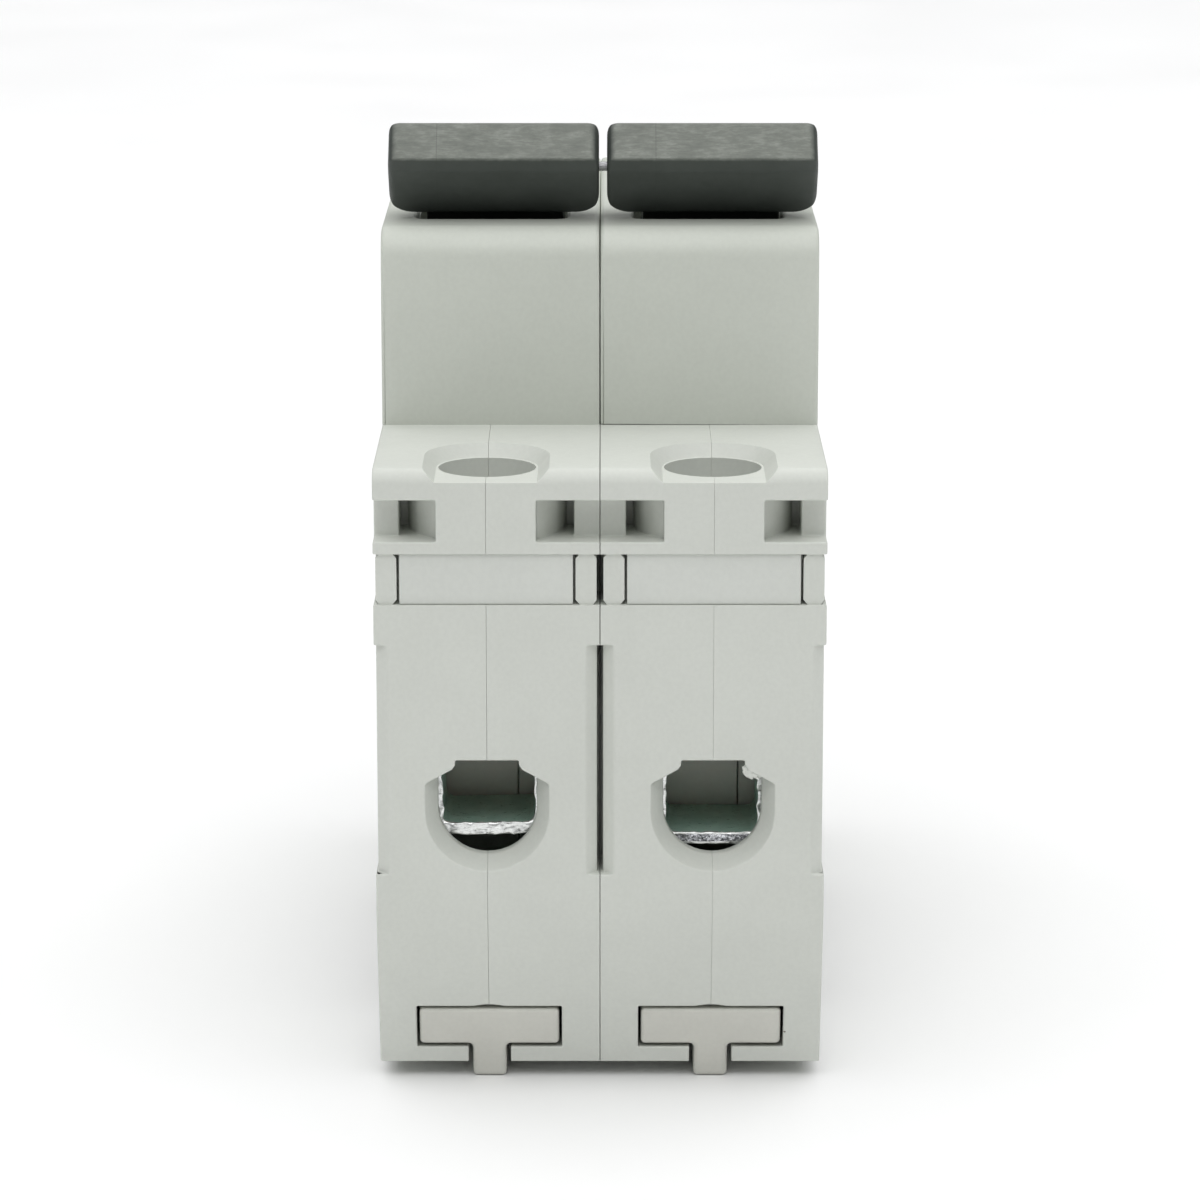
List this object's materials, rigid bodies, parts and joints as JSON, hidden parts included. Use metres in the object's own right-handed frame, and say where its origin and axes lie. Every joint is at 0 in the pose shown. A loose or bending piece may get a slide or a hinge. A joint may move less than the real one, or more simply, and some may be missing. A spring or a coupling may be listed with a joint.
{
  "type": "circuit breaker",
  "caption": "Modular miniature circuit breaker for a top-hat rail, with tied toggles, screw cage terminals, sliding rail clips and its full inner mechanism.",
  "frame": {"origin": "bottom centre of the whole breaker, in the plane of the rail clip tabs", "axes": "+Z from the rail side up to the toggles, +Y from the load end with the clips to the line end, X across the poles"},
  "size_m": [0.0354, 0.082, 0.0749],
  "materials": {
    "housing": "satin moulded light grey",
    "front_cover": "satin moulded light grey",
    "end_insert": "satin moulded light grey",
    "rail_clip": "satin moulded warm grey",
    "toggle": "satin moulded charcoal, scuffed",
    "zinc_cage": "bright zinc plated, sheared edges",
    "zinc_screw": "bright zinc plated",
    "rivet": "zinc plated",
    "steel": "plain steel",
    "spring_steel": "spring wire",
    "copper": "copper strip, satin",
    "copper_braid": "fine copper braid",
    "coil_wire": "enamelled copper wire",
    "iron": "bent iron strip",
    "bimetal": "rolled bimetal strip",
    "arc_plates": "copper-flashed steel plates",
    "trip_lever": "moulded thermoset"
  },
  "bodies": {
    "housing": {"left_outer_shell": "housing", "left_inner_shell": "housing", "left_front_cover": "front_cover", "left_load_end_insert": "end_insert", "left_line_end_insert": "end_insert", "left_load_terminal_plate": "copper", "left_line_terminal_plate": "copper", "left_arm_pivot_pin": "steel", "left_fixed_contact": "copper", "left_arc_chute": "arc_plates", "left_trip_coil": "coil_wire", "left_trip_yoke": "iron", "left_bimetal_strip": "bimetal", "left_braid": "copper_braid", "right_outer_shell": "housing", "right_inner_shell": "housing", "right_front_cover": "front_cover", "right_load_end_insert": "end_insert", "right_line_end_insert": "end_insert", "right_load_terminal_plate": "copper", "right_line_terminal_plate": "copper", "right_arm_pivot_pin": "steel", "right_fixed_contact": "copper", "right_arc_chute": "arc_plates", "right_trip_coil": "coil_wire", "right_trip_yoke": "iron", "right_bimetal_strip": "bimetal", "right_braid": "copper_braid", "rivet_1": "rivet", "rivet_2": "rivet", "rivet_3": "rivet", "rivet_4": "rivet"},
    "toggles": {"left_toggle": "toggle", "right_toggle": "toggle", "toggle_tie_pin": "steel"},
    "trip_bar": {"trip_shaft": "steel", "left_trip_lever": "trip_lever", "right_trip_lever": "trip_lever"},
    "left_link": {"left_link": "steel"},
    "left_contact_arm": {"left_contact_arm": "copper", "left_arm_spring": "spring_steel"},
    "left_trip_plunger": {"left_trip_plunger": "steel"},
    "left_rail_clip": {"left_rail_clip": "rail_clip"},
    "left_load_screw": {"left_load_screw": "zinc_screw"},
    "left_load_cage": {"left_load_cage": "zinc_cage"},
    "left_line_screw": {"left_line_screw": "zinc_screw"},
    "left_line_cage": {"left_line_cage": "zinc_cage"},
    "right_link": {"right_link": "steel"},
    "right_contact_arm": {"right_contact_arm": "copper", "right_arm_spring": "spring_steel"},
    "right_trip_plunger": {"right_trip_plunger": "steel"},
    "right_rail_clip": {"right_rail_clip": "rail_clip"},
    "right_load_screw": {"right_load_screw": "zinc_screw"},
    "right_load_cage": {"right_load_cage": "zinc_cage"},
    "right_line_screw": {"right_line_screw": "zinc_screw"},
    "right_line_cage": {"right_line_cage": "zinc_cage"}
  },
  "joints": [
    {"name": "toggles_switch", "type": "hinge", "parent": "housing", "child": "toggles", "pos_m": [0, 0, 0.05495], "axis": [-1, 0, 0], "range_deg": [0, 84]},
    {"name": "trip_bar_turn", "type": "hinge", "parent": "housing", "child": "trip_bar", "pos_m": [0, 0.008, 0.04335], "axis": [-1, 0, 0], "range_deg": [0, 3.5], "stiffness_Nm_per_rad": 0.03},
    {"name": "left_link_turn", "type": "hinge", "parent": "toggles", "child": "left_link", "pos_m": [-0.00887, 0.00172, 0.05249], "axis": [1, 0, 0], "range_deg": [0, 85]},
    {"name": "left_contact_arm_turn", "type": "hinge", "parent": "housing", "child": "left_contact_arm", "pos_m": [-0.00887, -0.006, 0.03235], "axis": [1, 0, 0], "range_deg": [0, 28.5]},
    {"name": "left_plunger_slide", "type": "slide", "parent": "housing", "child": "left_trip_plunger", "axis": [0, -1, 0], "range_m": [0, 0.0015], "stiffness_N_per_m": 150},
    {"name": "left_rail_clip_slide", "type": "slide", "parent": "housing", "child": "left_rail_clip", "axis": [0, -1, 0], "range_m": [0, 0.004]},
    {"name": "left_load_cage_lift", "type": "slide", "parent": "housing", "child": "left_load_cage", "axis": [0, 0, 1], "range_m": [0, 0.0048]},
    {"name": "left_load_screw_turn", "type": "hinge", "parent": "housing", "child": "left_load_screw", "pos_m": [-0.00887, -0.0348, 0.04], "axis": [0, 0, -1], "range_deg": [0, 2340]},
    {"name": "left_line_cage_lift", "type": "slide", "parent": "housing", "child": "left_line_cage", "axis": [0, 0, 1], "range_m": [0, 0.0048]},
    {"name": "left_line_screw_turn", "type": "hinge", "parent": "housing", "child": "left_line_screw", "pos_m": [-0.00887, 0.0348, 0.04], "axis": [0, 0, -1], "range_deg": [0, 2340]},
    {"name": "right_link_turn", "type": "hinge", "parent": "toggles", "child": "right_link", "pos_m": [0.00887, 0.00172, 0.05249], "axis": [1, 0, 0], "range_deg": [0, 85]},
    {"name": "right_contact_arm_turn", "type": "hinge", "parent": "housing", "child": "right_contact_arm", "pos_m": [0.00887, -0.006, 0.03235], "axis": [1, 0, 0], "range_deg": [0, 28.5]},
    {"name": "right_plunger_slide", "type": "slide", "parent": "housing", "child": "right_trip_plunger", "axis": [0, -1, 0], "range_m": [0, 0.0015], "stiffness_N_per_m": 150},
    {"name": "right_rail_clip_slide", "type": "slide", "parent": "housing", "child": "right_rail_clip", "axis": [0, -1, 0], "range_m": [0, 0.004]},
    {"name": "right_load_cage_lift", "type": "slide", "parent": "housing", "child": "right_load_cage", "axis": [0, 0, 1], "range_m": [0, 0.0048]},
    {"name": "right_load_screw_turn", "type": "hinge", "parent": "housing", "child": "right_load_screw", "pos_m": [0.00887, -0.0348, 0.04], "axis": [0, 0, -1], "range_deg": [0, 2340]},
    {"name": "right_line_cage_lift", "type": "slide", "parent": "housing", "child": "right_line_cage", "axis": [0, 0, 1], "range_m": [0, 0.0048]},
    {"name": "right_line_screw_turn", "type": "hinge", "parent": "housing", "child": "right_line_screw", "pos_m": [0.00887, 0.0348, 0.04], "axis": [0, 0, -1], "range_deg": [0, 2340]}
  ],
  "couplings": [
    {"joint": "left_link_turn", "follows": "toggles_switch", "ratio": 1.0079},
    {"joint": "left_contact_arm_turn", "follows": "toggles_switch", "ratio": 0.33333},
    {"joint": "left_load_screw_turn", "follows": "left_load_cage_lift", "rad_per_m": 7854},
    {"joint": "left_line_screw_turn", "follows": "left_line_cage_lift", "rad_per_m": 7854},
    {"joint": "right_link_turn", "follows": "toggles_switch", "ratio": 1.0079},
    {"joint": "right_contact_arm_turn", "follows": "toggles_switch", "ratio": 0.33333},
    {"joint": "right_load_screw_turn", "follows": "right_load_cage_lift", "rad_per_m": 7854},
    {"joint": "right_line_screw_turn", "follows": "right_line_cage_lift", "rad_per_m": 7854}
  ]
}
